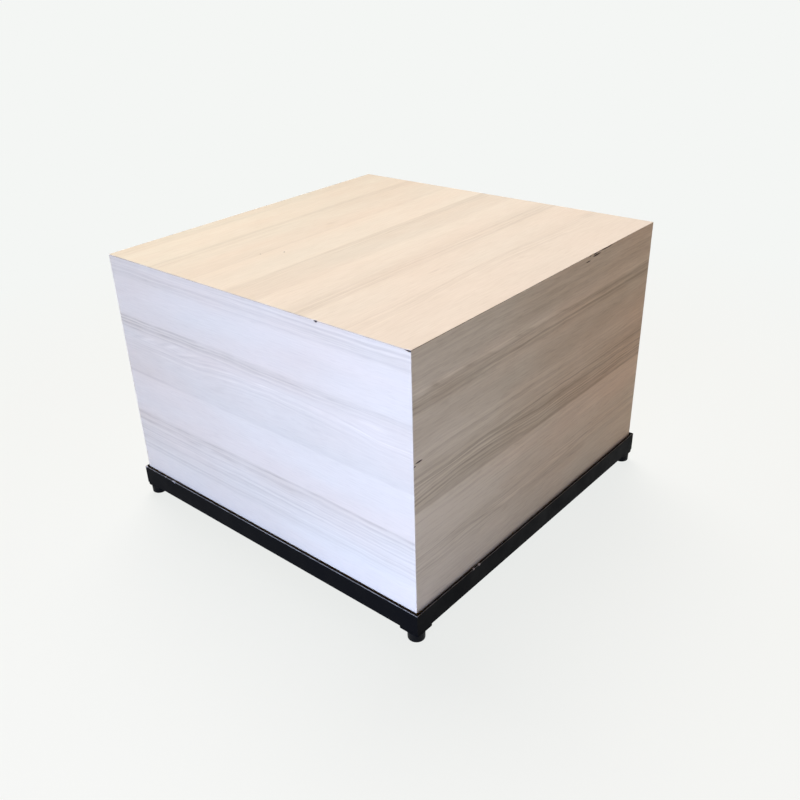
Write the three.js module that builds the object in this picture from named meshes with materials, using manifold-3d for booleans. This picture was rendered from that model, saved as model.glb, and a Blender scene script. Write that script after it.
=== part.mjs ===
// Square display plinth for a shop floor: a laminate-clad box standing in a welded steel angle base.
// Millimetres, +Z up. The origin is the middle of the plan, on the floor, and the front faces -Y.

import * as THREE from "three";
import { mergeVertices } from "three/addons/utils/BufferGeometryUtils.js";
import Module from "manifold-3d";

const wasm = await Module();
wasm.setup();

// Box
const boxWidth = 900; // along X, over the laminate
const boxDepth = 900; // along Y, over the laminate
const boxHeight = 620; // from the panels' lower edge to the top face
const boardThickness = 18;
const laminateThickness = 0.8;
const postSize = 40; // square corner posts
const cleatWidth = 40;
const cleatHeight = 40;
const ribHeight = 80;
const ribThickness = 18;

// Base frame, mitred from steel angle
const angleLeg = 50; // upright leg, round the outside of the box
const angleFlange = 50; // flange that the box stands on
const angleThickness = 5;
const toeRadius = 2.5; // rounding along the inner edge of each leg
const lipGap = 3; // between the box and the upright leg

// Screws that hold the box down on the frame
const screwDiameter = 5;
const screwLength = 30; // under the head
const screwTip = 6; // length of the point
const screwHeadDiameter = 10;
const screwHeadHeight = 3;
const screwSpacing = 500; // between the two screws of a side

// Levelling feet
const plateSize = 50;
const plateThickness = 5;
const plateCorner = 5; // corner radius
const studDiameter = 10;
const padTopDiameter = 38;
const padBottomDiameter = 37;
const padHeight = 21;
const padRound = 2.5; // radius round the pad's lower edge
const padWeb = 2; // wall between the stud's bore and the disc's recess
const discDiameter = 24;
const discThickness = 4;
const discProud = 1.5; // how far the disc stands out of the pad
const discChamfer = 0.8;
const spigotDiameter = 5; // snaps through the pad's web
const barbDiameter = 7.4;
const barbHeight = 1.2;

// Fits
const joint = 0.3; // between pieces that are glued, screwed or welded together
const runningGap = 0.3; // between pieces that turn or slide on each other

// Steps round a full turn
const roundSteps = 24;
const screwSteps = 12;
const cornerSteps = 3;

// Heights, from the floor up
const padFoot = discProud;
const padTop = padFoot + padHeight;
const plateFoot = padTop + runningGap;
const plateTop = plateFoot + plateThickness;
const frameFoot = plateTop + joint;
const flangeTop = frameFoot + angleThickness;
const boxFoot = flangeTop + joint;
const boxTop = boxFoot + boxHeight;
const skin = laminateThickness + joint;
const topBoardFoot = boxTop - skin - boardThickness;
const wallTop = topBoardFoot - joint;
const wallHeight = wallTop - boxFoot;
const claddingHeight = boxTop - skin - boxFoot;

// Depths, inward from the box's outer face
const wallDepth = skin + boardThickness;
const innerFace = wallDepth + joint;
const frameOut = lipGap + angleThickness;
const flangeEdge = angleFlange - frameOut;
const screwDepth = (innerFace + flangeEdge) / 2;

const finishes = {
  laminate: { color: 0xe4dacb, roughness: 0.5, metalness: 0 },
  board: { color: 0xa98d6a, roughness: 0.9, metalness: 0 },
  softwood: { color: 0xd0b48a, roughness: 0.8, metalness: 0 },
  paintedSteel: { color: 0x1b1c1f, roughness: 0.45, metalness: 0 },
  zincSteel: { color: 0xb4b6b4, roughness: 0.35, metalness: 1 },
  nylon: { color: 0x141414, roughness: 0.55, metalness: 0 },
  rubber: { color: 0x1e1d1c, roughness: 0.9, metalness: 0 },
};

const plinth = new THREE.Group();

function add(parent, name, finish, geometry, x, y, z) {
  const mesh = new THREE.Mesh(geometry, new THREE.MeshStandardMaterial(finishes[finish]));
  mesh.name = name;
  mesh.position.set(x, y, z);
  parent.add(mesh);
}

function solidOf(geometry) {
  const bare = geometry.clone();
  bare.deleteAttribute("normal");
  bare.deleteAttribute("uv");
  const merged = mergeVertices(bare);
  const vertProperties = new Float32Array(merged.attributes.position.array);
  const triVerts = new Uint32Array(merged.index.array);
  return new wasm.Manifold(new wasm.Mesh({ numProp: 3, vertProperties, triVerts }));
}

function cut(geometry, tools) {
  let solid = solidOf(geometry);
  for (const tool of tools) {
    solid = solid.subtract(solidOf(tool));
  }
  const mesh = solid.getMesh();
  const result = new THREE.BufferGeometry();
  result.setAttribute("position", new THREE.BufferAttribute(mesh.vertProperties, 3));
  result.setIndex(new THREE.BufferAttribute(mesh.triVerts, 1));
  result.computeVertexNormals();
  return result;
}

function turned(profile, steps) {
  const points = profile.map(([radius, height]) => new THREE.Vector2(radius, height));
  return new THREE.LatheGeometry(points, steps).rotateX(Math.PI / 2);
}

function drill(diameter, x, y, foot, top) {
  const tool = new THREE.CylinderGeometry(diameter / 2, diameter / 2, top - foot, screwSteps);
  return tool.rotateX(Math.PI / 2).translate(x, y, (foot + top) / 2);
}

// One length of angle with mitred ends. Its outer face is at y = 0 and its underside at z = 0.
function angleRail(length) {
  const toe = Math.min(toeRadius, angleThickness / 2);
  const section = new THREE.Shape();
  section.moveTo(0, 0);
  section.lineTo(angleFlange, 0);
  section.absarc(angleFlange - toe, angleThickness - toe, toe, 0, Math.PI / 2);
  section.lineTo(angleThickness, angleThickness);
  section.absarc(angleThickness - toe, angleLeg - toe, toe, 0, Math.PI / 2);
  section.lineTo(0, angleLeg);
  section.closePath();
  const bar = new THREE.ExtrudeGeometry(section, {
    depth: length,
    bevelEnabled: false,
    curveSegments: cornerSteps,
  });
  const inward = new THREE.Vector3(0, 1, 0);
  const upward = new THREE.Vector3(0, 0, 1);
  const along = new THREE.Vector3(1, 0, 0);
  bar.applyMatrix4(new THREE.Matrix4().makeBasis(inward, upward, along));
  const points = bar.attributes.position;
  for (let i = 0; i < points.count; i += 1) {
    const end = length / 2 - points.getY(i) - joint / Math.SQRT2;
    points.setX(i, points.getX(i) > length / 2 ? end : -end);
  }
  return bar;
}

// Wood screw with its head below z = 0 and its point up.
function woodScrew() {
  const profile = [
    [0, -screwHeadHeight],
    [screwHeadDiameter / 4, -screwHeadHeight],
    [screwHeadDiameter / 2, -screwHeadHeight / 2],
    [screwHeadDiameter / 2, 0],
    [screwDiameter / 2, 0],
    [screwDiameter / 2, screwLength - screwTip],
    [0, screwLength],
  ];
  return turned(profile, screwSteps);
}

// The four sides, each in a group turned so that its face looks along the group's own -Y.
const sides = [
  { name: "front", half: boxWidth / 2, reach: boxDepth / 2, runsThrough: true },
  { name: "right", half: boxDepth / 2, reach: boxWidth / 2, runsThrough: false },
  { name: "back", half: boxWidth / 2, reach: boxDepth / 2, runsThrough: true },
  { name: "left", half: boxDepth / 2, reach: boxWidth / 2, runsThrough: false },
];

sides.forEach(({ name, half, reach, runsThrough }, turn) => {
  const side = new THREE.Group();
  side.rotation.z = (turn * Math.PI) / 2;
  plinth.add(side);

  // Front and back run through, and the left and right pieces fit between them.
  const panelHalf = runsThrough ? half - skin : half - wallDepth - joint;
  const claddingHalf = runsThrough ? half : half - skin;
  const panel = new THREE.BoxGeometry(2 * panelHalf, boardThickness, wallHeight);
  const cladding = new THREE.BoxGeometry(2 * claddingHalf, laminateThickness, claddingHeight);
  const panelY = -reach + skin + boardThickness / 2;
  add(side, `${name}_panel`, "board", panel, 0, panelY, boxFoot + wallHeight / 2);
  const claddingY = -reach + laminateThickness / 2;
  add(side, `${name}_laminate`, "laminate", cladding, 0, claddingY, boxFoot + claddingHeight / 2);

  const screwPlaces = [-screwSpacing / 2, screwSpacing / 2];
  const holeDiameter = screwDiameter + 2 * joint;
  const railHoles = screwPlaces.map((x) =>
    drill(holeDiameter, x, frameOut + screwDepth, -angleThickness, 2 * angleThickness));
  const rail = cut(angleRail(2 * (half + frameOut)), railHoles);
  add(side, `${name}_rail`, "paintedSteel", rail, 0, -reach - frameOut, frameFoot);

  // The cleat's own zero is the middle of its lower outer edge.
  const screwFoot = frameFoot - joint;
  const pilotTop = screwFoot + screwLength + joint - boxFoot;
  const cleatHalf = half - innerFace - postSize - joint;
  const batten = new THREE.BoxGeometry(2 * cleatHalf, cleatWidth, cleatHeight);
  batten.translate(0, cleatWidth / 2, cleatHeight / 2);
  const pilots = screwPlaces.map((x) =>
    drill(holeDiameter, x, screwDepth - innerFace, -angleThickness, pilotTop));
  add(side, `${name}_cleat`, "softwood", cut(batten, pilots), 0, -reach + innerFace, boxFoot);

  screwPlaces.forEach((x, i) => {
    add(side, `${name}_screw_${i + 1}`, "zincSteel", woodScrew(), x, -reach + screwDepth, screwFoot);
  });
});

// Top board and its laminate, which covers the upper edges of the side laminates.
const topBoard = new THREE.BoxGeometry(boxWidth - 2 * skin, boxDepth - 2 * skin, boardThickness);
add(plinth, "top_panel", "board", topBoard, 0, 0, topBoardFoot + boardThickness / 2);
const topCladding = new THREE.BoxGeometry(boxWidth, boxDepth, laminateThickness);
add(plinth, "top_laminate", "laminate", topCladding, 0, 0, boxTop - laminateThickness / 2);

// Two ribs under the top board, halved over each other in the middle. The slot opens up or down.
function rib(length, slotOpensUp) {
  const slotHalf = ribThickness / 2 + joint;
  const slotDepth = (ribHeight + joint) / 2;
  const outline = new THREE.Shape();
  outline.moveTo(-length / 2, 0);
  outline.lineTo(-slotHalf, 0);
  outline.lineTo(-slotHalf, slotDepth);
  outline.lineTo(slotHalf, slotDepth);
  outline.lineTo(slotHalf, 0);
  outline.lineTo(length / 2, 0);
  outline.lineTo(length / 2, ribHeight);
  outline.lineTo(-length / 2, ribHeight);
  outline.closePath();
  const board = new THREE.ExtrudeGeometry(outline, { depth: ribThickness, bevelEnabled: false });
  board.translate(0, -ribHeight / 2, -ribThickness / 2).rotateX(Math.PI / 2);
  return slotOpensUp ? board.rotateX(Math.PI) : board;
}

const ribZ = wallTop - ribHeight / 2;
add(plinth, "rib_across", "board", rib(boxWidth - 2 * innerFace, true), 0, 0, ribZ);
const ribBetween = rib(boxDepth - 2 * innerFace, false).rotateZ(Math.PI / 2);
add(plinth, "rib_front_to_back", "board", ribBetween, 0, 0, ribZ);

// Rounded square plate, drilled for the stud at the given place. Its underside is at z = 0.
function footPlate(holeX, holeY) {
  const half = plateSize / 2;
  const arcs = half - plateCorner;
  const outline = new THREE.Shape();
  outline.absarc(arcs, arcs, plateCorner, 0, Math.PI / 2);
  outline.absarc(-arcs, arcs, plateCorner, Math.PI / 2, Math.PI);
  outline.absarc(-arcs, -arcs, plateCorner, Math.PI, 1.5 * Math.PI);
  outline.absarc(arcs, -arcs, plateCorner, 1.5 * Math.PI, 2 * Math.PI);
  const plate = new THREE.ExtrudeGeometry(outline, {
    depth: plateThickness,
    bevelEnabled: false,
    curveSegments: cornerSteps,
  });
  return cut(plate, [drill(studDiameter + 2 * joint, holeX, holeY, -plateThickness, 2 * plateThickness)]);
}

const discRecess = discThickness - discProud + runningGap;
const boreDepth = padHeight - discRecess - padWeb;
const studDrop = runningGap + boreDepth - barbHeight - 2 * runningGap;

// Foot pad with a blind bore for the stud above and a recess for the disc below. Its foot is at z = 0.
function footPad() {
  const lower = padBottomDiameter / 2;
  const profile = [[spigotDiameter / 2 + runningGap, discRecess]];
  profile.push([discDiameter / 2 + runningGap, discRecess]);
  profile.push([discDiameter / 2 + runningGap, 0]);
  const round = Math.min(padRound, lower - discDiameter / 2 - 2 * runningGap);
  for (let i = 0; i <= cornerSteps; i += 1) {
    const angle = (i / cornerSteps) * (Math.PI / 2);
    profile.push([lower - round + round * Math.sin(angle), round - round * Math.cos(angle)]);
  }
  profile.push([padTopDiameter / 2, padHeight]);
  profile.push([studDiameter / 2 + runningGap, padHeight]);
  profile.push([studDiameter / 2 + runningGap, padHeight - boreDepth]);
  profile.push([spigotDiameter / 2 + runningGap, padHeight - boreDepth]);
  profile.push(profile[0]);
  return turned(profile, roundSteps);
}

// Disc that stays still on the floor while the pad turns on its spigot.
function footDisc() {
  const spigotTop = discThickness + padWeb + 2 * runningGap;
  const profile = [
    [0, 0],
    [discDiameter / 2 - discChamfer, 0],
    [discDiameter / 2, discChamfer],
    [discDiameter / 2, discThickness],
    [spigotDiameter / 2, discThickness],
    [spigotDiameter / 2, spigotTop],
    [barbDiameter / 2, spigotTop],
    [spigotDiameter / 2, spigotTop + barbHeight],
    [0, spigotTop + barbHeight],
  ];
  return turned(profile, roundSteps);
}

// Corners: a post inside the box, and a foot whose rim lines up with the frame's outer faces.
for (const [xSign, xName] of [[-1, "left"], [1, "right"]]) {
  for (const [ySign, yName] of [[-1, "front"], [1, "back"]]) {
    const corner = `${yName}_${xName}`;
    const postX = xSign * (boxWidth / 2 - innerFace - postSize / 2);
    const postY = ySign * (boxDepth / 2 - innerFace - postSize / 2);
    const post = new THREE.BoxGeometry(postSize, postSize, wallHeight);
    add(plinth, `post_${corner}`, "softwood", post, postX, postY, boxFoot + wallHeight / 2);

    const frameX = xSign * (boxWidth / 2 + frameOut);
    const frameY = ySign * (boxDepth / 2 + frameOut);
    const plateX = frameX - (xSign * plateSize) / 2;
    const plateY = frameY - (ySign * plateSize) / 2;
    const footX = frameX - (xSign * padTopDiameter) / 2;
    const footY = frameY - (ySign * padTopDiameter) / 2;
    const plate = footPlate(footX - plateX, footY - plateY);
    add(plinth, `foot_plate_${corner}`, "paintedSteel", plate, plateX, plateY, plateFoot);

    const studLength = studDrop + plateThickness;
    const stud = new THREE.CylinderGeometry(studDiameter / 2, studDiameter / 2, studLength, roundSteps);
    stud.rotateX(Math.PI / 2);
    add(plinth, `foot_stud_${corner}`, "zincSteel", stud, footX, footY, plateTop - studLength / 2);
    add(plinth, `foot_pad_${corner}`, "nylon", footPad(), footX, footY, padFoot);
    add(plinth, `foot_disc_${corner}`, "rubber", footDisc(), footX, footY, 0);
  }
}

export default plinth;
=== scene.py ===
import math

import bmesh
import bpy
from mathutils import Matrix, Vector


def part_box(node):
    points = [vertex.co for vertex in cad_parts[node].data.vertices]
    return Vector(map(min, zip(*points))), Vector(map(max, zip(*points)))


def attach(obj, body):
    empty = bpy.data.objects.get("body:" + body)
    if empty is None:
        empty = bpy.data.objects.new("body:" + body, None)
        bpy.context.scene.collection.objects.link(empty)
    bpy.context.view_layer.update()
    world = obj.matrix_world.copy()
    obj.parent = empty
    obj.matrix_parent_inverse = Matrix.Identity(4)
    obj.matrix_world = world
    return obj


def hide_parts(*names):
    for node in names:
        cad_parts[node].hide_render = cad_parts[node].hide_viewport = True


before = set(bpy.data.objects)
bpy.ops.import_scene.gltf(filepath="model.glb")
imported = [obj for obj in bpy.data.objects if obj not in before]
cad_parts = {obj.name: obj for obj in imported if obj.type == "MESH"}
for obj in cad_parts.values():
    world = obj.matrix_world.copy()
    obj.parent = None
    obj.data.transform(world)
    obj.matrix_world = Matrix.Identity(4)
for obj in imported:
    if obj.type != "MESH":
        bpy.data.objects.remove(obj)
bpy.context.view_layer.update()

mm = 0.001               # sizes in the dictionaries are in mm, places and lamps in m
sideNames = ("front", "right", "back", "left")
cornerNames = ("front_left", "front_right", "back_left", "back_right")
print("frame loaded:", len(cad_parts), "nodes")


def toLinear(hexColour):
    parts = [int(hexColour[i:i + 2], 16) / 255 for i in (1, 3, 5)]
    return [p / 12.92 if p <= 0.04045 else ((p + 0.055) / 1.055) ** 2.4 for p in parts] + [1.0]


# inputs, in order or by key, are plain values, hex colours or sockets to link
def fillInputs(tree, node, inputs):
    for key, value in inputs.items() if isinstance(inputs, dict) else enumerate(inputs):
        if isinstance(value, bpy.types.NodeSocket):
            tree.links.new(value, node.inputs[key])
        else:
            node.inputs[key].default_value = toLinear(value) if isinstance(value, str) else value


# adds one node: settings are its properties, and stops fill a colour ramp with hex colours or grey levels
def addNode(tree, kind, inputs=(), stops=(), **settings):
    node = tree.nodes.new("ShaderNode" + kind)
    for key, value in settings.items():
        setattr(node, key, value)
    fillInputs(tree, node, inputs)
    if stops:
        ramp = node.color_ramp.elements
        while len(ramp) < len(stops):
            ramp.new(1.0)
        for element, (place, colour) in zip(ramp, stops):
            element.position = place
            element.color = toLinear(colour) if isinstance(colour, str) else (colour, colour, colour, 1.0)
    return node


def newMaterial(name):
    material = bpy.data.materials.new(name)
    material.use_nodes = True
    return material, material.node_tree, material.node_tree.nodes["Principled BSDF"]


def addObject(name, data):
    thing = bpy.data.objects.new(name, data)
    bpy.context.scene.collection.objects.link(thing)
    return thing


# camera: a phone held at about 1.26 m, fitted to the box's corners in the 800 x 800 picture
cameraSet = {
    "place": (1.29656, -1.46372, 1.26016),
    "turn": (61.5343, 2.4418, 41.6745),
    "lens": 38.79,
    "sensor": 36.0,
    "shift": (0.0367, 0.0116),
}
cameraData = bpy.data.cameras.new("camera")
cameraData.sensor_width = cameraSet["sensor"]
cameraData.lens = cameraSet["lens"]
cameraData.shift_x, cameraData.shift_y = cameraSet["shift"]
camera = addObject("camera", cameraData)
camera.location = cameraSet["place"]
camera.rotation_euler = [math.radians(a) for a in cameraSet["turn"]]
bpy.context.scene.camera = camera
bpy.context.scene.view_settings.view_transform = "Standard"
print("camera set")


# high-pressure laminate printed with whitewashed ash planks: pale and matt-satin, with grey-brown growth
# lines, streak bands, broad arches and short pores pressed into the sheet
ashColours = {
    "print": [(0.0, "#F9ECD8"), (0.333, "#E6D8C3"), (1.0, "#B8A78F")],  # pale wood, body, full streak
    "tints": [(0.25, "#FFF4E2"), (0.6, "#F8FFF4")],     # warm brown, olive
    "scar": "#2C1709",
    # colour of the painted shade in the gap above the steel lip
    "grime": "#2A2724",
}
# noise layers: mm across the grain, mm along it, detail
ashLayers = {
    "wander": (160.0, 420.0, 2.0),
    "wobble": (30.0, 110.0, 2.0),
    "ring": (5.5, 650.0, 3.0),          # growth lines
    "fibre": (2.8, 48.0, 2.0),          # real fibres are under 0.3 mm, drawn this coarse so that they show
    "pore": (3.0, 30.0, 1.0),           # pores are drawn coarser too, real ones are 0.3 mm
    "blotch": (45.0, 180.0, 2.0),
    "tint": (110.0, 380.0, 2.0),
    "break": (9.0, 75.0, 2.0),          # the lines come and go along their length
}
# a range is (noise from, to, result from, to), and a result left out runs from 0 to 1
ashGrain = {
    "boardLength": 900.0,
    "wander": 6.0,                      # how far the lines wander across the grain
    "wobble": 3.5,                      # a quicker, smaller wander on top of it
    "fray": 4.0,                        # how far a line's edge frays
    "archOpens": 0.6,                   # shares of an arch's rise over which its lines bend and straighten
    "archCloses": 2.0,
    "poreRange": (0.58, 0.72),
    "breakRange": (0.3, 0.65, 1.5, 0.35),
    "ringRange": (0.38, 0.66, -0.5, 1.0),
    "ringFaint": 0.04,                  # strength of the growth lines between ring bands
    "ringFade": 0.2,                    # share of a band's width over which it fades
    "fleckEdge": (1.3, 0.2),            # reach at which a spot starts and is full, 1 on its rim
    "scarEdge": (1.55, 1.15),
    "weights": {"ring": 0.36, "fibre": 0.34, "pore": 0.1, "blotch": 0.26},
    "meanDark": 0.31,                   # what those weights add on average
    "paleSpan": 0.5,                    # darkness from the plain print down to pale wood
    "streakSpan": 1.0,                  # and up to a full streak
    "tintSpread": (0.5, 0.25),          # share of the tint noise, and where it starts
    "lowDown": (0.65, 0.9),             # shares of a side's height between which the lower hue comes in
    "grimeBelow": 4.0,                  # under the lip top, where the painted shade is full
    "grimeCover": 0.3,
    "roughRange": (0.3, 0.7, 0.5, 0.64),
    "scarRough": 0.36,
    "poreDepth": -0.8,
    "emboss": 0.08,                     # depth of the pressed grain
    "embossStrength": 0.5,
    "ior": 1.5,
}
middleGrey = 0.5                        # mean of a noise, and the plain print in a ramp
boxLow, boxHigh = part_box("top_laminate")
boxTop = boxHigh.z
lipPlace = (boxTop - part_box("front_rail")[1].z) / mm

# each face: grain runs along one axis, and places across it are in mm from the top edge, on the top from
# the left edge. Darkness is 0 for the plain print, 1 for a full streak, below 0 for paler wood.
# along, across: (axis, direction, offset)   extent: mm across the grain   painted shade above the lip: mm it reaches up
# depth: contrast of the print   texture: strength of its fine grain
# hue: lean to olive (+) or warm brown (-) at the start, at the end, added low down
# tinge: how much of that hue shows at the first edge across, at the last
# tones: (place, darkness)   lines: (place, half width, darkness at the start, at the end)
# rings: (from, to, strength at the start, at the end)   arches: (along, crest, half span, lower end, rise)
# flecks: (along, across, half length, half width, darkness, slope)   scars: the first four of these
faces = {
    "front": {
        "along": (0, 1, -boxLow.x), "across": (2, -1, boxTop), "extent": 620, "seed": 3.1,
        "grime": 3, "depth": 1.6, "texture": 0.55,
        "tones": [(0, 0.03), (44, 0.03), (48, -0.04), (138, -0.02), (144, 0.03), (176, 0.03), (184, -0.02),
                  (215, 0.02), (284, 0.05), (291, 0.06), (295, -0.05), (398, -0.03), (403, 0.04), (440, 0.03),
                  (505, 0.03), (515, -0.05), (620, -0.03)],
        "lines": [(147, 3.5, 0.38, 0.2), (155, 3.5, 0.36, 0.14), (163, 3.5, 0.4, 0.02),
                  (171.5, 4, 0.34, -0.05), (200, 2.5, 0.02, 0.12), (206, 3, -0.14, -0.24),
                  (214, 3, 0.0, 0.12), (220, 3, -0.08, -0.12), (407, 4.5, 0.34, 0.3), (424, 4.5, 0.32, 0.14)],
        "rings": [(0, 48, 0.7, 0.9), (140, 178, 0.8, 0.4), (180, 230, 0.5, 0.4), (400, 520, 0.9, 0.7)],
        "arches": [(545, 187, 270, 262, 18)],
        "flecks": [(800, 180, 48, 7, -0.12), (345, 248, 30, 5, 0.08, -0.1), (80, 291, 130, 4, 0.12),
                   (62, 190, 32, 4, 0.1, -0.3), (100, 188, 28, 4, -0.12, -0.25), (158, 186, 32, 4, 0.1, -0.3),
                   (192, 184, 28, 4, -0.14, -0.25), (250, 188, 44, 3.5, -0.12, -0.18),
                   (236, 196, 48, 3.5, 0.1, -0.18), (335, 187, 44, 3.5, 0.1, -0.16),
                   (386, 183, 34, 3, -0.1, -0.1), (170, 90, 200, 25, -0.03), (700, 92, 160, 20, 0.03),
                   # painted light: this last, broad fleck pales the lower right end, where the window falls
                   (880, 580, 320, 170, -0.13)],
        "scars": [(673, 1.5, 5, 1.6)],
    },
    "right": {
        "along": (1, 1, -boxLow.y), "across": (2, -1, boxTop), "extent": 620, "seed": 8.4,
        "grime": 12, "depth": 2.2, "texture": 0.9, "hue": (0.2, -0.25, 0.14),
        "tones": [(0, 0.05), (60, 0.05), (80, -0.04), (95, -0.04), (98, 0.1), (126, 0.08), (132, 0.0),
                  (160, 0.03), (200, 0.02), (210, -0.06), (236, -0.06), (244, 0.03), (290, 0.07), (318, 0.15),
                  (338, 0.19), (340, -0.15), (400, -0.1), (440, -0.03), (450, 0.01), (490, 0.0), (500, -0.03),
                  (575, 0.0)],
        "lines": [(103, 3.5, 0.2, 0.14), (115, 4, 0.2, 0.15), (123, 3, 0.15, 0.09), (226, 2, 0.06, 0.05),
                  (262, 2.5, 0.08, 0.06), (281, 3, 0.1, 0.08), (296, 3, 0.14, 0.16), (310, 3.5, 0.16, 0.24),
                  (323, 3.5, 0.15, 0.22), (334, 4, 0.18, 0.22)],
        "rings": [(0, 80, 0.15, 0.25), (80, 130, 0.6, 0.6), (205, 250, 0.5, 0.3), (250, 340, 0.9, 0.9),
                  (340, 410, 0.45, 0.2), (430, 495, 0.6, 0.4)],
        "arches": [(190, 285, 230, 352, 10)],
        # painted light and shade: the first three, broad flecks pale the near lower end and darken the far
        # end and its foot
        "flecks": [(20, 480, 300, 200, -0.15), (720, 170, 380, 300, 0.1), (720, 610, 420, 70, 0.09),
                   (28, 90, 34, 6, -0.17), (112, 88, 44, 7, -0.14), (262, 90, 62, 6, -0.17),
                   (425, 88, 52, 4.5, -0.14), (640, 84, 40, 6, -0.06), (600, 170, 130, 22, 0.05),
                   (120, 190, 120, 25, -0.05), (66, 90, 13, 4, 0.16, 0.25), (166, 90, 18, 4, 0.14, 0.22),
                   (242, 93, 22, 4, 0.13, 0.2), (334, 90, 14, 4, 0.14, 0.25), (376, 92, 18, 4, 0.12, 0.2),
                   (508, 95, 32, 3.5, 0.14, 0.15), (40, 481, 60, 4, 0.12, 0.02),
                   (110, 486, 80, 3.5, 0.1, 0.03), (170, 459, 62, 4, 0.16, 0.08),
                   (242, 468, 52, 4, 0.15, 0.14), (365, 450, 75, 4, 0.12, -0.03),
                   (322, 470, 44, 3.5, -0.12, 0.06), (558, 470, 54, 4, 0.15, -0.12),
                   (626, 461, 42, 3.5, 0.13, -0.15), (500, 462, 34, 3, -0.12, 0.1)],
        "scars": [(16, 227, 11, 2.0), (4, 232, 3, 1.6), (632, 6, 17, 2.2), (596, 12, 11, 1.6),
                  (672, 1, 34, 2.4)],
    },
    "back": {
        "along": (0, -1, boxHigh.x), "across": (2, -1, boxTop), "extent": 620, "seed": 14.7,
        "grime": 8, "depth": 1.8, "texture": 0.7,
        "tones": [(0, 0.0), (56, 0.02), (60, -0.07), (110, -0.05), (116, 0.06), (160, 0.04), (166, 0.0),
                  (250, 0.03), (296, 0.09), (299, -0.08), (372, -0.05), (378, 0.07), (412, 0.05), (470, 0.0),
                  (476, -0.06), (620, 0)],
        "lines": [(40, 3, 0.08, 0.05), (121, 3.5, 0.1, 0.16), (133, 3, 0.12, 0.08), (150, 3, 0.06, 0.1),
                  (232, 3, 0.05, 0.08), (262, 3, 0.08, 0.1), (284, 4, 0.1, 0.14), (384, 4, 0.14, 0.1),
                  (400, 4, 0.12, 0.14)],
        "rings": [(0, 60, 0.4, 0.3), (112, 165, 0.7, 0.5), (215, 300, 0.5, 0.7), (374, 470, 0.6, 0.4)],
        "arches": [(380, 190, 380, 298, 26), (700, 392, 120, 440, 12)],
        "flecks": [(200, 206, 70, 7, -0.12), (640, 180, 60, 8, -0.08), (520, 420, 110, 18, 0.04)],
        "scars": [(250, 2, 8, 1.8)],
    },
    "left": {
        "along": (1, -1, boxHigh.y), "across": (2, -1, boxTop), "extent": 620, "seed": 21.9,
        "grime": 8, "depth": 1.8, "texture": 0.7,
        "tones": [(0, 0.04), (88, 0.06), (91, -0.08), (170, -0.05), (178, 0.08), (214, 0.06), (222, -0.01),
                  (330, 0.02), (336, 0.1), (352, 0.1), (355, -0.1), (450, -0.06), (470, 0.02), (530, 0.05),
                  (534, -0.04), (620, -0.02)],
        "lines": [(70, 3, 0.06, 0.1), (82, 3.5, 0.1, 0.12), (184, 3, 0.12, 0.16), (197, 3.5, 0.14, 0.1),
                  (208, 3, 0.1, 0.06), (310, 3, 0.06, 0.04), (340, 4, 0.14, 0.16), (480, 3, 0.08, 0.1),
                  (512, 3, 0.1, 0.06)],
        "rings": [(0, 90, 0.5, 0.5), (172, 220, 0.7, 0.6), (290, 354, 0.6, 0.6), (450, 532, 0.5, 0.5)],
        "arches": [(420, 240, 360, 330, 28), (760, 472, 110, 524, 12)],
        "flecks": [(300, 168, 90, 6, -0.13), (560, 164, 60, 6, -0.1), (660, 270, 120, 18, 0.04)],
        "scars": [(700, 2.5, 7, 1.6)],
    },
    "top": {
        "along": (1, -1, boxHigh.y), "across": (0, 1, -boxLow.x), "extent": 900, "seed": 30.2,
        "depth": 2.3, "texture": 0.42, "tinge": (0.85, 0.2),
        "tones": [(0, 0.04), (42, 0.03), (48, -0.02), (146, -0.01), (152, 0.05), (184, 0.03), (194, 0.01),
                  (288, 0.02), (294, 0.04), (300, -0.02), (405, -0.03), (410, 0.06), (440, 0.05), (500, 0.03),
                  (515, -0.04), (565, -0.03), (590, 0.02), (600, 0.04), (636, 0.04), (645, -0.01),
                  (735, -0.01), (745, 0.02), (775, 0.01), (790, -0.01), (900, 0)],
        "lines": [(158, 4, 0.05, 0.07), (176, 4, 0.04, 0.06), (298, 3.5, 0.0, 0.06), (413, 4, 0.13, 0.1),
                  (428, 4, 0.08, 0.08), (440, 3.5, 0.06, 0.04), (607, 3.5, 0.11, 0.06), (621, 4, 0.13, 0.1),
                  (634, 3.5, 0.05, 0.1), (762, 3.5, 0.03, 0.05)],
        "rings": [(0, 50, 0.3, 0.3), (148, 190, 0.4, 0.4), (405, 450, 0.5, 0.4), (590, 645, 0.45, 0.5),
                  (735, 785, 0.4, 0.4)],
        "arches": [(430, 742, 300, 800, 12)],
        # painted light and shade: the first two, broad flecks darken the back left and pale the front left
        "flecks": [(60, 60, 320, 210, 0.07), (860, 70, 330, 210, -0.05), (440, 772, 60, 4, -0.08),
                   (430, 262, 20, 5, 0.08), (560, 690, 24, 3.5, 0.12), (830, 775, 60, 4, -0.06),
                   (640, 190, 120, 4, -0.05), (850, 195, 40, 5, -0.06), (440, 455, 40, 16, 0.04),
                   (30, 745, 34, 14, 0.06)],
        "scars": [(656, 331, 2.2, 1.8), (697, 296, 2.0, 1.6)],
    },
}


# noise drawn out along the grain
def grainNoise(tree, space, layer):
    step, length, detail = ashLayers[layer]
    scale = (1 / (length * mm), 1 / (step * mm), 1)
    drawn = addNode(tree, "Mapping", {"Vector": space, "Scale": scale}).outputs[0]
    return addNode(tree, "TexNoise", {"Vector": drawn, "Scale": 1.0, "Detail": detail}).outputs["Fac"]


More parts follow.
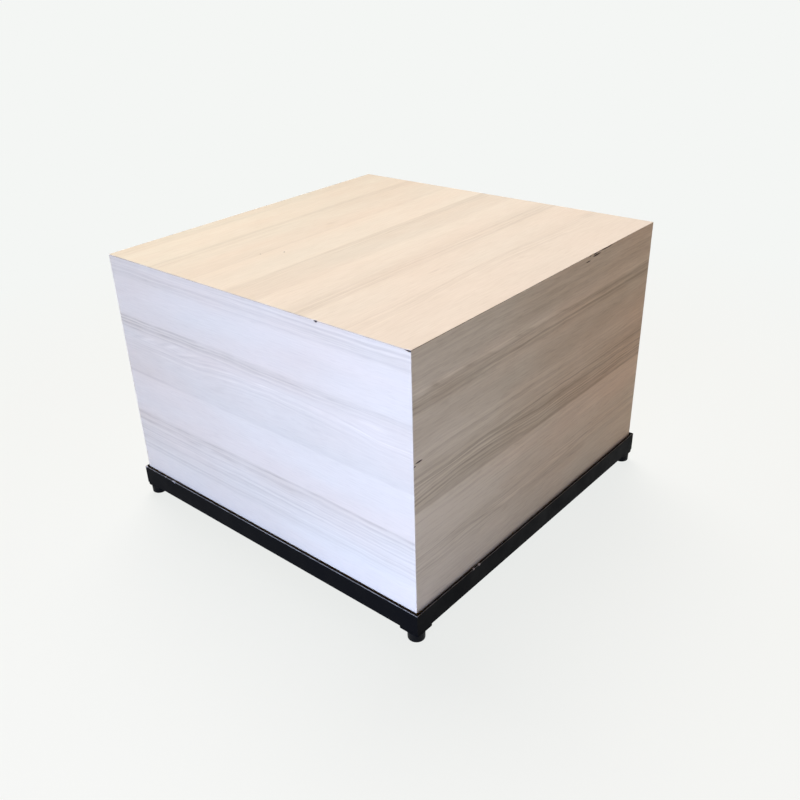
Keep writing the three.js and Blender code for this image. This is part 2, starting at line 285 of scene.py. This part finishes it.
# distance from the middle of an oval spot, 1 on its rim
def spotReach(tree, along, across, middle, place, halfLength, halfWidth, slope=0.0):
    first = addNode(tree, "Math", [along, 1 / (halfLength * mm), -middle / halfLength],
                    operation="MULTIPLY_ADD").outputs[0]
    second = addNode(tree, "Math", [across, 1 / (halfWidth * mm), -place / halfWidth],
                     operation="MULTIPLY_ADD").outputs[0]
    second = addNode(tree, "Math", [first, -slope * halfLength / halfWidth, second],
                     operation="MULTIPLY_ADD").outputs[0]
    spread = addNode(tree, "CombineXYZ", [first, second]).outputs[0]
    return addNode(tree, "VectorMath", [spread], operation="LENGTH").outputs["Value"]


def ashLaminate(name, face):
    material, tree, shader = newMaterial("ashLaminateSatin_" + name)
    place = addNode(tree, "TexCoord").outputs["Object"]
    axes = addNode(tree, "SeparateXYZ", [place]).outputs
    along, across = [addNode(tree, "Math", [axes[axis], sign, start], operation="MULTIPLY_ADD").outputs[0]
                     for axis, sign, start in (face["along"], face["across"])]

    # lines bend round each arch: the lift is greatest at its middle and dies away at its ends
    bent = across
    for middle, crest, span, lowerEnd, rise in face["arches"]:
        share = addNode(tree, "Math", [along, 1 / (span * mm), -middle / span],
                        operation="MULTIPLY_ADD").outputs[0]
        square = addNode(tree, "Math", [share, share], operation="MULTIPLY").outputs[0]
        hump = addNode(tree, "Math", [1.0, square], operation="SUBTRACT", use_clamp=True).outputs[0]
        upperEnd = crest - ashGrain["archOpens"] * rise
        opens = addNode(tree, "MapRange", [across, upperEnd * mm, crest * mm],
                        interpolation_type="SMOOTHSTEP").outputs[0]
        easing = lowerEnd - ashGrain["archCloses"] * rise
        closes = addNode(tree, "MapRange", [across, lowerEnd * mm, easing * mm],
                         interpolation_type="SMOOTHSTEP").outputs[0]
        inside = addNode(tree, "Math", [opens, closes], operation="MULTIPLY").outputs[0]
        lift = addNode(tree, "Math", [hump, inside], operation="MULTIPLY").outputs[0]
        bent = addNode(tree, "Math", [lift, rise * mm, bent], operation="MULTIPLY_ADD").outputs[0]

    # slow wander of all the lines, then the noise layers drawn out along them
    flat = addNode(tree, "CombineXYZ", [along, across, face["seed"]]).outputs[0]
    lines = bent
    for layer in ("wander", "wobble"):
        noise = grainNoise(tree, flat, layer)
        drift = addNode(tree, "Math", [noise, middleGrey], operation="SUBTRACT").outputs[0]
        lines = addNode(tree, "Math", [drift, 2 * ashGrain[layer] * mm, lines],
                        operation="MULTIPLY_ADD").outputs[0]
    grainSpace = addNode(tree, "CombineXYZ", [along, lines, face["seed"]]).outputs[0]
    layers = {}
    for layer in ("ring", "fibre", "pore", "blotch", "tint", "break"):
        layers[layer] = grainNoise(tree, grainSpace, layer)
    pores = addNode(tree, "MapRange", [layers["pore"], *ashGrain["poreRange"]]).outputs[0]
    breaks = addNode(tree, "MapRange", [layers["break"], *ashGrain["breakRange"]]).outputs[0]
    growth = addNode(tree, "MapRange", [layers["ring"], *ashGrain["ringRange"]]).outputs[0]

    # ramps across the grain: plank tones, then lines and ring strength for both ends of the boards, mixed
    # along them
    extent = face["extent"]
    length = addNode(tree, "Math", [along, 1 / (ashGrain["boardLength"] * mm)],
                     operation="MULTIPLY", use_clamp=True).outputs[0]
    straight = addNode(tree, "Math", [across, 1 / (extent * mm)], operation="MULTIPLY").outputs[0]
    frayed = addNode(tree, "Math", [layers["ring"], middleGrey], operation="SUBTRACT").outputs[0]
    ragged = addNode(tree, "Math", [frayed, 2 * ashGrain["fray"] * mm, lines],
                     operation="MULTIPLY_ADD").outputs[0]
    ragged = addNode(tree, "Math", [ragged, 1 / (extent * mm)], operation="MULTIPLY").outputs[0]
    stops = [(spot / extent, middleGrey + dark) for spot, dark in face["tones"]]
    tone = addNode(tree, "ValToRGB", [straight], stops).outputs["Color"]
    lineEnds = []
    ringEnds = []
    faint = ashGrain["ringFaint"]
    for end in (0, 1):
        stops = []
        for middle, half, *dark in face["lines"]:
            stops += [((middle - half) / extent, middleGrey), (middle / extent, middleGrey + dark[end]),
                      ((middle + half) / extent, middleGrey)]
        lineEnds.append(addNode(tree, "ValToRGB", [ragged], stops).outputs["Color"])
        stops = []
        for first, last, *strength in face["rings"]:
            fade = ashGrain["ringFade"] * (last - first)
            stops += [(first / extent, faint), ((first + fade) / extent, strength[end]),
                      ((last - fade) / extent, strength[end]), (last / extent, faint)]
        ringEnds.append(addNode(tree, "ValToRGB", [straight], stops).outputs["Color"])
    streaks = addNode(tree, "Mix", {0: length, 6: lineEnds[0], 7: lineEnds[1]}, data_type="RGBA").outputs[2]
    ringed = addNode(tree, "Mix", {0: length, 6: ringEnds[0], 7: ringEnds[1]}, data_type="RGBA").outputs[2]
    rings = addNode(tree, "Math", [ringed, growth], operation="MULTIPLY").outputs[0]

    # darkness of the print: tones and streaks, fine grain, then flecks of paler and darker wood
    texture = face["texture"]
    streaks = addNode(tree, "Math", [streaks, middleGrey], operation="SUBTRACT").outputs[0]
    dark = addNode(tree, "Math", [streaks, breaks, tone], operation="MULTIPLY_ADD").outputs[0]
    fine = {"ring": rings, "fibre": layers["fibre"], "pore": pores, "blotch": layers["blotch"]}
    parts = [(fine[layer], weight * texture) for layer, weight in ashGrain["weights"].items()]
    for middle, spot, halfLength, halfWidth, darkness, *slope in face["flecks"]:
        reach = spotReach(tree, along, lines, middle, spot, halfLength, halfWidth, *slope)
        parts.append((addNode(tree, "MapRange", [reach, *ashGrain["fleckEdge"]]).outputs[0], darkness))
    for source, weight in parts:
        dark = addNode(tree, "Math", [source, weight, dark], operation="MULTIPLY_ADD").outputs[0]

    # its colours, with a tint that drifts over the face
    plain = middleGrey + ashGrain["meanDark"] * texture
    palest = plain - ashGrain["paleSpan"] / face["depth"]
    darkest = plain + ashGrain["streakSpan"] / face["depth"]
    shade = addNode(tree, "MapRange", [dark, palest, darkest]).outputs[0]
    colour = addNode(tree, "ValToRGB", [shade], ashColours["print"]).outputs["Color"]
    start, end, lower = face.get("hue", (0.0, 0.0, 0.0))
    spread, base = ashGrain["tintSpread"]
    tint = addNode(tree, "Math", [layers["tint"], spread, base + start], operation="MULTIPLY_ADD").outputs[0]
    tint = addNode(tree, "Math", [length, end - start, tint], operation="MULTIPLY_ADD").outputs[0]
    below = addNode(tree, "MapRange", [straight, *ashGrain["lowDown"], 0.0, lower]).outputs[0]
    tint = addNode(tree, "Math", [tint, below], operation="ADD").outputs[0]
    hue = addNode(tree, "ValToRGB", [tint], ashColours["tints"]).outputs["Color"]
    tinge = addNode(tree, "MapRange", [straight, 0.0, 1.0, *face.get("tinge", (texture, texture))]).outputs[0]
    colour = addNode(tree, "Mix", {0: tinge, 6: colour, 7: hue}, data_type="RGBA",
                     blend_type="MULTIPLY").outputs[2]
    # painted shade: the sheet darkens towards the steel lip and down into the gap behind it
    if "grime" in face:
        reach = [(lipPlace - face["grime"]) * mm, (lipPlace + ashGrain["grimeBelow"]) * mm]
        low = addNode(tree, "MapRange", [across, *reach, 0.0, ashGrain["grimeCover"]],
                      interpolation_type="SMOOTHERSTEP").outputs[0]
        colour = addNode(tree, "Mix", {0: low, 6: colour, 7: ashColours["grime"]},
                         data_type="RGBA").outputs[2]

    # scars where the print is knocked through: dark and dull, with torn edges
    scarred = 0.0
    for scar in face["scars"]:
        reach = spotReach(tree, along, across, *scar)
        torn = addNode(tree, "Math", [layers["fibre"], reach], operation="ADD").outputs[0]
        bare = addNode(tree, "MapRange", [torn, *ashGrain["scarEdge"]]).outputs[0]
        colour = addNode(tree, "Mix", {0: bare, 6: colour, 7: ashColours["scar"]},
                         data_type="RGBA").outputs[2]
        scarred = addNode(tree, "Math", [scarred, bare], operation="MAXIMUM").outputs[0]

    rough = addNode(tree, "MapRange", [layers["fibre"], *ashGrain["roughRange"]]).outputs[0]
    rough = addNode(tree, "Math", [scarred, ashGrain["scarRough"], rough],
                    operation="MULTIPLY_ADD").outputs[0]
    relief = addNode(tree, "Math", [pores, ashGrain["poreDepth"], layers["fibre"]],
                     operation="MULTIPLY_ADD").outputs[0]
    bump = addNode(tree, "Bump", {"Height": relief, "Strength": ashGrain["embossStrength"],
                                  "Distance": ashGrain["emboss"] * mm}).outputs[0]
    fillInputs(tree, shader, {"Base Color": colour, "Roughness": rough, "Normal": bump,
                              "IOR": ashGrain["ior"]})
    return material


# distance out from the middle of the box, the same on its four sides
def outwardReach(tree, axes):
    sideways = [addNode(tree, "Math", [axes[axis]], operation="ABSOLUTE").outputs[0] for axis in (0, 1)]
    return addNode(tree, "Math", sideways, operation="MAXIMUM").outputs[0]


# rolled steel angle in satin black paint: near black with a faint orange peel and dust, a painted highlight
# in patches along the outer arris of the lip, strongest on the front rail, with chips knocked out of it
steelSet = {
    "paint": "#040508",
    "dust": "#0A0A0B",
    # colour of the painted highlight on the lip's outer arris
    "arrisHighlight": "#C0B8A8",
    "chip": "#B8B2A8",
    "peelStep": 3.0,                    # orange peel, drawn coarser than the real 1 mm so that it shows
    "peelDepth": 0.1,
    "peelStrength": 0.25,
    "dustStep": 60.0,
    "dustRange": (0.45, 0.8, 0.0, 0.5),
    "roughRange": (0.3, 0.8, 0.45, 0.68),
    "specular": 0.03,
    "lip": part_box("front_rail")[1].z,
    "face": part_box("right_rail")[1].x,
    "highlightStep": 25.0,
    "highlightRange": (0.3, 0.7, 0.3, 0.8),
    "highlightUnderLip": (1.8, 0.8),          # below the lip, where the painted highlight starts and is full
    "highlightInFace": (1.4, 0.6),            # the same, in from the outer face
    "frontHighlight": (-0.452, -0.448, 1.0, 0.45),    # over y, as the painted highlight is strongest on the front rail
    "chipDown": 0.6,                    # middle of a chip below the lip
    "chipRagged": 0.8,
    "chipEdge": (1.4, 1.2),
    "chips": [(-0.454, -0.4575, 4), (-0.371, -0.4565, 2.5), (-0.340, -0.457, 3), (-0.334, -0.457, 3.5),
              (0.457, -0.266, 3), (0.457, -0.246, 4)],      # x, y, size
}


def blackPaintedSteel():
    material, tree, shader = newMaterial("paintedSteelSatinBlack")
    place = addNode(tree, "TexCoord").outputs["Object"]
    axes = addNode(tree, "SeparateXYZ", [place]).outputs
    peel = addNode(tree, "TexNoise", {"Vector": place, "Scale": 1 / (steelSet["peelStep"] * mm),
                                      "Detail": 2.0}).outputs["Fac"]
    dust = addNode(tree, "TexNoise", {"Vector": place, "Scale": 1 / (steelSet["dustStep"] * mm),
                                      "Detail": 5.0, "Roughness": 0.65}).outputs["Fac"]
    film = addNode(tree, "MapRange", [dust, *steelSet["dustRange"]]).outputs[0]
    colour = addNode(tree, "Mix", {0: film, 6: steelSet["paint"], 7: steelSet["dust"]},
                     data_type="RGBA").outputs[2]

    # painted highlight in patches, only where the lip and the outer face meet
    highlightPatches = addNode(tree, "TexNoise", {"Vector": place, "Scale": 1 / (steelSet["highlightStep"] * mm),
                                     "Detail": 3.0}).outputs["Fac"]
    arrisHighlight = addNode(tree, "MapRange", [highlightPatches, *steelSet["highlightRange"]]).outputs[0]
    limits = [
        [axes[2], *(steelSet["lip"] - drop * mm for drop in steelSet["highlightUnderLip"])],
        [axes[1], *steelSet["frontHighlight"]],
        [outwardReach(tree, axes), *(steelSet["face"] - inset * mm for inset in steelSet["highlightInFace"])],
    ]
    for limit in limits:
        share = addNode(tree, "MapRange", limit).outputs[0]
        arrisHighlight = addNode(tree, "Math", [arrisHighlight, share], operation="MULTIPLY").outputs[0]
    colour = addNode(tree, "Mix", {0: arrisHighlight, 6: colour, 7: steelSet["arrisHighlight"]}, data_type="RGBA").outputs[2]

    for x, y, size in steelSet["chips"]:
        centre = (x, y, steelSet["lip"] - steelSet["chipDown"] * mm)
        reach = addNode(tree, "VectorMath", [place, centre], operation="DISTANCE").outputs["Value"]
        share = addNode(tree, "Math", [reach, 1 / (size * mm)], operation="MULTIPLY").outputs[0]
        torn = addNode(tree, "Math", [peel, steelSet["chipRagged"], share],
                       operation="MULTIPLY_ADD").outputs[0]
        bare = addNode(tree, "MapRange", [torn, *steelSet["chipEdge"]]).outputs[0]
        colour = addNode(tree, "Mix", {0: bare, 6: colour, 7: steelSet["chip"]}, data_type="RGBA").outputs[2]

    rough = addNode(tree, "MapRange", [dust, *steelSet["roughRange"]]).outputs[0]
    bump = addNode(tree, "Bump", {"Height": peel, "Strength": steelSet["peelStrength"],
                                  "Distance": steelSet["peelDepth"] * mm}).outputs[0]
    fillInputs(tree, shader, {"Base Color": colour, "Roughness": rough, "Normal": bump,
                              "Specular IOR Level": steelSet["specular"]})
    return material


# raw particle board: packed wood chips, pale and dark flakes a few mm long, dull
boardSet = {
    "flakes": [(0.0, "#7A5F42"), (0.45, "#A88B66"), (1.0, "#CDB48C")],
    "flakeStep": 3.5,
    "flakeDepth": 0.3,
    "flakeStrength": 0.4,
    # colour of the painted shade inside the chips
    "chipShade": "#3A2A22",
    "chipShadeInFace": (6.0, 4.0),           # in from the sides, where the painted shade starts and is full
    "chipShadeUnderTop": (7.0, 5.0),         # the same, below the top
    "roughness": 0.9,
}


def particleBoard():
    material, tree, shader = newMaterial("particleBoardRaw")
    place = addNode(tree, "TexCoord").outputs["Object"]
    axes = addNode(tree, "SeparateXYZ", [place]).outputs
    flakes = addNode(tree, "TexVoronoi", {"Vector": place,
                                          "Scale": 1 / (boardSet["flakeStep"] * mm)}).outputs["Color"]
    tone = addNode(tree, "SeparateColor", [flakes]).outputs[0]
    colour = addNode(tree, "ValToRGB", [tone], boardSet["flakes"]).outputs["Color"]

    # painted shade in the top edges, where the sheets are chipped
    inFace = [boxHigh.x - inset * mm for inset in boardSet["chipShadeInFace"]]
    underTop = [boxTop - drop * mm for drop in boardSet["chipShadeUnderTop"]]
    outer = addNode(tree, "MapRange", [outwardReach(tree, axes), *inFace]).outputs[0]
    upper = addNode(tree, "MapRange", [axes[2], *underTop]).outputs[0]
    chipShade = addNode(tree, "Math", [outer, upper], operation="MULTIPLY").outputs[0]
    colour = addNode(tree, "Mix", {0: chipShade, 6: colour, 7: boardSet["chipShade"]}, data_type="RGBA").outputs[2]
    bump = addNode(tree, "Bump", {"Height": tone, "Strength": boardSet["flakeStrength"],
                                  "Distance": boardSet["flakeDepth"] * mm}).outputs[0]
    fillInputs(tree, shader, {"Base Color": colour, "Normal": bump, "Roughness": boardSet["roughness"]})
    return material


# planed softwood: straight yellow-brown growth lines along each batten
battenSet = {
    "lines": [(0.35, "#E2C79B"), (0.55, "#CFA973"), (0.7, "#B58A55")],
    "lineStep": 6.0,
    "lineDepth": 0.2,
    "lineStrength": 0.3,
    "stretch": 0.02,                    # scale along the grain, set against 1 across it
    "roughness": 0.7,
}


def softwood(name, axis):
    material, tree, shader = newMaterial("softwoodPlaned_" + name)
    place = addNode(tree, "TexCoord").outputs["Object"]
    scale = [1.0, 1.0, 1.0]
    scale[axis] = battenSet["stretch"]
    drawn = addNode(tree, "Mapping", {"Vector": place, "Scale": scale}).outputs[0]
    lines = addNode(tree, "TexNoise", {"Vector": drawn, "Scale": 1 / (battenSet["lineStep"] * mm),
                                       "Detail": 3.0}).outputs["Fac"]
    colour = addNode(tree, "ValToRGB", [lines], battenSet["lines"]).outputs["Color"]
    bump = addNode(tree, "Bump", {"Height": lines, "Strength": battenSet["lineStrength"],
                                  "Distance": battenSet["lineDepth"] * mm}).outputs[0]
    fillInputs(tree, shader, {"Base Color": colour, "Normal": bump, "Roughness": battenSet["roughness"]})
    return material


# bright zinc plate on steel: grey metal with a soft mottled gloss
zincSet = {
    "mottle": [(0.3, "#A7A9A8"), (0.7, "#C9CAC6")],
    "mottleStep": 4.0,
    "roughRange": (0.3, 0.7, 0.28, 0.45),
}


def zincSteel():
    material, tree, shader = newMaterial("zincPlatedSteel")
    place = addNode(tree, "TexCoord").outputs["Object"]
    mottle = addNode(tree, "TexNoise", {"Vector": place, "Scale": 1 / (zincSet["mottleStep"] * mm),
                                        "Detail": 3.0}).outputs["Fac"]
    colour = addNode(tree, "ValToRGB", [mottle], zincSet["mottle"]).outputs["Color"]
    rough = addNode(tree, "MapRange", [mottle, *zincSet["roughRange"]]).outputs[0]
    fillInputs(tree, shader, {"Base Color": colour, "Roughness": rough, "Metallic": 1.0})
    return material


# moulded black plastic: nylon has a low sheen and fine grain, rubber is duller and rougher. The grain is
# drawn coarser than the real 0.2 mm so that it shows
mouldedSet = {
    "nylonMouldedBlack": {"colour": "#050608", "roughness": 0.5, "grainStep": 0.8},
    "rubberMouldedBlack": {"colour": "#141413", "roughness": 0.8, "grainStep": 1.2},
    "grainDepth": 0.08,
    "grainStrength": 0.3,
    "roughFrom": (0.3, 0.7),            # grain noise over which the roughness rises
    "roughSpread": 0.08,
    "film": "#161514",
    "filmStep": 12.0,
    "filmRange": (0.5, 0.8, 0.0, 0.4),
    "specular": 0.06,
}


def mouldedBlack(name):
    material, tree, shader = newMaterial(name)
    plastic = mouldedSet[name]
    place = addNode(tree, "TexCoord").outputs["Object"]
    speckle = addNode(tree, "TexNoise", {"Vector": place, "Scale": 1 / (plastic["grainStep"] * mm),
                                         "Detail": 3.0}).outputs["Fac"]
    grime = addNode(tree, "TexNoise", {"Vector": place, "Scale": 1 / (mouldedSet["filmStep"] * mm),
                                       "Detail": 4.0}).outputs["Fac"]
    film = addNode(tree, "MapRange", [grime, *mouldedSet["filmRange"]]).outputs[0]
    colour = addNode(tree, "Mix", {0: film, 6: plastic["colour"], 7: mouldedSet["film"]},
                     data_type="RGBA").outputs[2]
    smoothest = plastic["roughness"] - mouldedSet["roughSpread"]
    roughest = plastic["roughness"] + mouldedSet["roughSpread"]
    rough = addNode(tree, "MapRange", [speckle, *mouldedSet["roughFrom"], smoothest, roughest]).outputs[0]
    bump = addNode(tree, "Bump", {"Height": speckle, "Strength": mouldedSet["grainStrength"],
                                  "Distance": mouldedSet["grainDepth"] * mm}).outputs[0]
    fillInputs(tree, shader, {"Base Color": colour, "Roughness": rough, "Normal": bump,
                              "Specular IOR Level": mouldedSet["specular"]})
    return material


painted = blackPaintedSteel()
board = particleBoard()
zinc = zincSteel()
nylon = mouldedBlack("nylonMouldedBlack")
rubber = mouldedBlack("rubberMouldedBlack")
print("materials made")


def finishPiece(shape, name, material, body, node):
    mesh = bpy.data.meshes.new(name)
    shape.to_mesh(mesh)
    shape.free()
    mesh.materials.append(material)
    piece = addObject(name, mesh)
    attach(piece, body)
    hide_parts(node)
    return piece


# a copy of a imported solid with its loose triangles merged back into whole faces
copySet = {"merge": 0.005, "flatAngle": 1.0}


def wholeCopy(node):
    shape = bmesh.new()
    shape.from_mesh(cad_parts[node].data)
    bmesh.ops.remove_doubles(shape, verts=shape.verts, dist=copySet["merge"] * mm)
    bmesh.ops.dissolve_limit(shape, angle_limit=math.radians(copySet["flatAngle"]), verts=shape.verts,
                             edges=shape.edges)
    return shape


def easeEdges(shape, edges, size):
    bmesh.ops.bevel(shape, geom=edges, offset=size * mm, offset_type="OFFSET", affect="EDGES", segments=2,
                    profile=0.5, material=-1)


# laminate sheets: eased arrises, and small chips knocked out of the rims
# chips: (axis along the rim, from, to, pull)
sheetSet = {
    "easing": 0.35,
    "rim": 0.6,                         # width of the rim that a chip pulls back
    "cutMerge": 0.001,
    "slack": 0.01,
    "chipCore": (0.25, 0.65),           # shares of a chip's length between which it is deepest
    "chips": {
        "top": [(0, 219, 228, (0, 1.8, 0)), (0, 434, 475, (-1.5, 2.0, 0))],
        "front": [(0, 219, 228, (0, 0, -3.0)), (0, 434, 475, (0, 0, -2.0))],
        "right": [(1, 150, 159, (0, 0, -1.6)), (1, 168, 186, (0, 0, -2.6))],
    },
}


def laminateSheet(name):
    node = name + "_laminate"
    shape = wholeCopy(node)
    low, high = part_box(node)
    easeEdges(shape, shape.edges[:], sheetSet["easing"])
    slack = sheetSet["slack"] * mm
    for axis, first, last, pull in sheetSet["chips"].get(name, []):
        direction = Vector((0, 0, 0))
        direction[axis] = 1
        pulled = Vector(pull) * mm
        inner = [(first + share * (last - first)) * mm for share in sheetSet["chipCore"]]
        for cut in (first * mm, *inner, last * mm):
            bmesh.ops.bisect_plane(shape, geom=shape.verts[:] + shape.edges[:] + shape.faces[:],
                                   dist=sheetSet["cutMerge"] * mm, plane_co=direction * cut,
                                   plane_no=direction)
        across = max((i for i in range(3) if i != axis), key=lambda i: abs(pulled[i]))
        rim = []
        for vert in shape.verts:
            gap = vert.co[across] - low[across] if pulled[across] > 0 else high[across] - vert.co[across]
            if inner[0] - slack <= vert.co[axis] <= inner[1] + slack and gap < sheetSet["rim"] * mm:
                rim.append(vert)
        bmesh.ops.translate(shape, verts=rim, vec=pulled)
    finishPiece(shape, name + "Sheet", ashLaminate(name, faces[name]), "plinth", node)


for sheetName in faces:
    laminateSheet(sheetName)
print("laminate sheets made")


# steel rails: arrises eased under the paint, mitres closed up as welded and ground
railSet = {
    "easing": 0.6,
    "mitreGap": 0.3 / math.sqrt(2),     # growth of each end along the rail
    "mitreSlack": 0.01,                 # in a mitre face's normal
    "sharpAngle": 60.0,
}


def steelRail(name):
    node = name + "_rail"
    shape = wholeCopy(node)
    axis = 0 if name in ("front", "back") else 1
    slack = railSet["mitreSlack"]
    mitres = [f for f in shape.faces
              if abs(abs(f.normal.x) - abs(f.normal.y)) < slack and abs(f.normal.z) < slack]
    kept = {e for f in mitres for e in f.edges}
    for face in mitres:
        push = Vector((0, 0, 0))
        push[axis] = math.copysign(railSet["mitreGap"] * mm, face.calc_center_median()[axis])
        bmesh.ops.translate(shape, verts=face.verts, vec=push)
    least = math.radians(railSet["sharpAngle"])
    arrises = [e for e in shape.edges if e not in kept and e.calc_face_angle(0) > least]
    easeEdges(shape, arrises, railSet["easing"])
    finishPiece(shape, name + "Rail", painted, "plinth", node)


for railName in sideNames:
    steelRail(railName)
print("rails made")


# foot pads: turned solids with fine steps, smooth round their sides, hollow for the stud and the disc
padSet = {
    "steps": 64,
    "merge": 0.002,
    "smoothAngle": 35.0,
    "pinRadius": 2.8,                   # hole for the disc's pin
    "recessRadius": 12.3,               # recess for the disc
    "recessDepth": 2.8,
    "boreRadius": 5.3,                  # bore for the stud
    "boreFloor": 4.8,                   # its floor above the foot
    "toeRadius": 18.5,
    "toeRounding": 2.5,
    "toeSteps": 6,
    "rimEase": 1.0,
    "rimRound": 0.3,
    "rimStep": (0.2, 0.6),              # in from the rim and down from where its easing starts
}


def turnedPiece(profile, centre):
    shape = bmesh.new()
    verts = [shape.verts.new((centre.x + radius * mm, centre.y, height * mm)) for radius, height in profile]
    edges = [shape.edges.new(pair) for pair in zip(verts, verts[1:])]
    bmesh.ops.spin(shape, geom=verts + edges, cent=(centre.x, centre.y, 0), axis=(0, 0, 1), angle=2 * math.pi,
                   steps=padSet["steps"], use_merge=True)
    bmesh.ops.remove_doubles(shape, verts=shape.verts, dist=padSet["merge"] * mm)
    bmesh.ops.recalc_face_normals(shape, faces=shape.faces)
    return shape


def footPad(corner):
    node = "foot_pad_" + corner
    low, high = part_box(node)
    foot, top = low.z / mm, high.z / mm
    wide = (high.x - low.x) / 2 / mm
    pin, bore, recess = padSet["pinRadius"], padSet["boreRadius"], padSet["recessRadius"]
    recessTop, boreFloor = foot + padSet["recessDepth"], foot + padSet["boreFloor"]
    ease, rounding = padSet["rimEase"], padSet["toeRounding"]
    stepIn, stepDown = padSet["rimStep"]
    profile = [(pin, recessTop), (recess, recessTop), (recess, foot)]
    for i in range(padSet["toeSteps"] + 1):
        angle = math.radians(90 / padSet["toeSteps"] * i)
        profile.append((padSet["toeRadius"] - rounding + rounding * math.sin(angle),
                        foot + rounding - rounding * math.cos(angle)))
    profile += [(wide - stepIn, top - ease - stepDown), (wide, top - ease),
                (wide - padSet["rimRound"], top - padSet["rimRound"]), (wide - ease, top),
                (bore, top), (bore, boreFloor), (pin, boreFloor), (pin, recessTop)]
    pad = finishPiece(turnedPiece(profile, (low + high) / 2), "footPad_" + corner, nylon, "pad_" + corner,
                      node)
    for polygon in pad.data.polygons:
        polygon.use_smooth = True
    pad.data.set_sharp_from_angle(angle=math.radians(padSet["smoothAngle"]))


for cornerName in cornerNames:
    footPad(cornerName)
print("feet made")

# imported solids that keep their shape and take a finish
battens = {name: softwood(name, axis) for axis, name in enumerate(("across", "through", "upright"))}
for nodeName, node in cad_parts.items():
    if nodeName.endswith("_panel") or nodeName.startswith("rib_"):
        finish = board
    elif nodeName.startswith("post_"):
        finish = battens["upright"]
    elif nodeName.endswith("_cleat"):
        finish = battens["across" if nodeName in ("front_cleat", "back_cleat") else "through"]
    elif nodeName.startswith("foot_plate_"):
        finish = painted
    elif nodeName.startswith("foot_disc_"):
        finish = rubber
    elif "_screw_" in nodeName or nodeName.startswith("foot_stud_"):
        finish = zinc
    else:
        continue
    node.data.materials.clear()
    node.data.materials.append(finish)
print("finishes set")


# 1 for the rays that show floor and sky themselves: to the camera, in gloss and through glass
def shownDirectly(tree):
    path = addNode(tree, "LightPath").outputs
    shown = path["Is Camera Ray"]
    for ray in ("Is Glossy Ray", "Is Transmission Ray"):
        shown = addNode(tree, "Math", [shown, path[ray]], operation="MAXIMUM").outputs[0]
    return shown


# floor: shown to the camera it is pale and mostly self-lit, so it stays even and still takes the soft shadow;
# towards the object it is a dull brown-grey, so it throws little light up
floorSet = {
    "half": 40.0,                       # m, half its width
    "lit": "#F4EFE0",
    "glow": "#F4F6F4",
    "bounce": "#9C8E76",
    "ownLight": 0.88,                   # share of its own light near the object
    "shadowReach": (1.3, 2.3),          # m from the middle, over which that share rises to 1
    "roughness": 0.9,
}
floorMesh = bpy.data.meshes.new("floor")
ground = bmesh.new()
bmesh.ops.create_grid(ground, x_segments=1, y_segments=1, size=floorSet["half"])
ground.to_mesh(floorMesh)
ground.free()
floor = addObject("floor", floorMesh)
floorFinish, tree, shader = newMaterial("floorPaleMatt")
fillInputs(tree, shader, {"Base Color": floorSet["lit"], "Roughness": floorSet["roughness"],
                          "Specular IOR Level": 0.0})
glow = addNode(tree, "Emission", {"Color": floorSet["glow"], "Strength": 1.0}).outputs[0]
place = addNode(tree, "TexCoord").outputs["Object"]
reach = addNode(tree, "VectorMath", [place], operation="LENGTH").outputs["Value"]
share = addNode(tree, "MapRange", [reach, *floorSet["shadowReach"], floorSet["ownLight"], 1.0]).outputs[0]
pale = addNode(tree, "MixShader", [share, shader.outputs[0], glow]).outputs[0]
dull = addNode(tree, "BsdfDiffuse", {"Color": floorSet["bounce"]}).outputs[0]
mixed = addNode(tree, "MixShader", [shownDirectly(tree), dull, pale]).outputs[0]
fillInputs(tree, tree.nodes["Material Output"], {"Surface": mixed})
floorMesh.materials.append(floorFinish)

# sky: a faint warm dome, strongest from the right, which the camera sees as a plain pale backdrop
skySet = {
    "colour": "#FFC060",
    "strength": 0.116,
    "lean": (0.94, 0.34, 0.0),
    "contrast": 0.95,
    "backdrop": "#F4F5F3",
}
world = bpy.data.worlds.new("world")
bpy.context.scene.world = world
world.use_nodes = True
tree = world.node_tree
heading = addNode(tree, "TexCoord").outputs["Generated"]
lean = addNode(tree, "VectorMath", [heading, skySet["lean"]], operation="DOT_PRODUCT").outputs["Value"]
level = addNode(tree, "Math", [lean, skySet["strength"] * skySet["contrast"], skySet["strength"]],
                operation="MULTIPLY_ADD").outputs[0]
sky = tree.nodes["Background"]
fillInputs(tree, sky, {"Color": skySet["colour"], "Strength": level})
plain = addNode(tree, "Background", {"Color": skySet["backdrop"], "Strength": 1.0}).outputs[0]
both = addNode(tree, "MixShader", [shownDirectly(tree), sky.outputs[0], plain]).outputs[0]
fillInputs(tree, tree.nodes["World Output"], {"Surface": both})

# lamps: a cool window on the front, nearer its right end, a soft neutral light from above, back and left, and
# a low, cool fill for the back and left sides, kept under the level of the top
lamps = {
    "windowLamp": {"kind": "AREA", "place": (1.08, -3.45, 0.30), "from": (0, -1, 0), "size": (1.2, 1.0),
                   "colour": "#AFC6FF", "power": 224.0},
    "ceilingLamp": {"kind": "SUN", "from": (-0.42, 0.36, 0.83), "softness": 40.0,
                    "colour": "#FBF8FF", "power": 3.38},
    "fillLamp": {"kind": "AREA", "place": (-3.2, 3.2, 0.30), "from": (-1, 1, 0), "size": (3.0, 0.5),
                 "colour": "#C8DCFF", "power": 115.0},
}
for lampName, lamp in lamps.items():
    lampData = bpy.data.lights.new(lampName, lamp["kind"])
    lampData.color = toLinear(lamp["colour"])[:3]
    lampData.energy = lamp["power"]
    light = addObject(lampName, lampData)
    light.rotation_euler = Vector(lamp["from"]).to_track_quat("Z", "Y").to_euler()
    if lamp["kind"] == "SUN":
        lampData.angle = math.radians(lamp["softness"])
    else:
        lampData.shape = "RECTANGLE"
        lampData.size, lampData.size_y = lamp["size"]
        light.location = lamp["place"]
        light.visible_camera = False
print("floor and light set")
